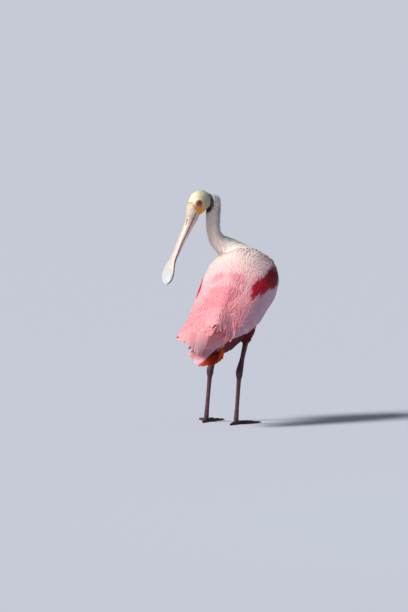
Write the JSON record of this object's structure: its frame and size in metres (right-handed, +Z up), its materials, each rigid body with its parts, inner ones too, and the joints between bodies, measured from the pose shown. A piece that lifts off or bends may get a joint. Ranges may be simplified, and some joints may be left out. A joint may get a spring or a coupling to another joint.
{
  "type": "roseate spoonbill model",
  "caption": "Life-size roseate spoonbill that stands on both feet with its head turned back over one shoulder and its spoon-tipped bill hanging down.",
  "frame": {"origin": "on the floor, below the middle of the whole bird's bounding box", "axes": "+Z up; the body heads towards -Y and the bird's left side is +X; the head looks back over the left shoulder"},
  "size_m": [0.2338, 0.3397, 0.4744],
  "materials": {
    "bare_head_skin": "bare, finely wrinkled pale green skin with an orange face",
    "bill_horn": "horn, satin, with low cross ridges at the base",
    "eye": "wet red iris round a black pupil",
    "white_feathers": "short soft white feathers",
    "pale_feathers": "soft body feathers, white washed with pink",
    "pink_feathers": "smooth overlapping pink vanes",
    "orange_feathers": "smooth orange tail vanes",
    "crimson_feathers": "loose crimson feathers",
    "leg_skin": "dark red scaly skin"
  },
  "bodies": {
    "root": {"head": "bare_head_skin", "bill_upper": "bill_horn", "bill_lower": "bill_horn", "eye_left": "eye", "eye_right": "eye", "neck_upper": "white_feathers", "neck_lower": "white_feathers", "torso": "pale_feathers", "wing_left": "pink_feathers", "wing_right": "pink_feathers", "tail": "orange_feathers", "thigh_left": "crimson_feathers", "thigh_right": "crimson_feathers", "leg_left": "leg_skin", "leg_right": "leg_skin", "foot_left": "leg_skin", "foot_right": "leg_skin"}
  },
  "joints": []
}
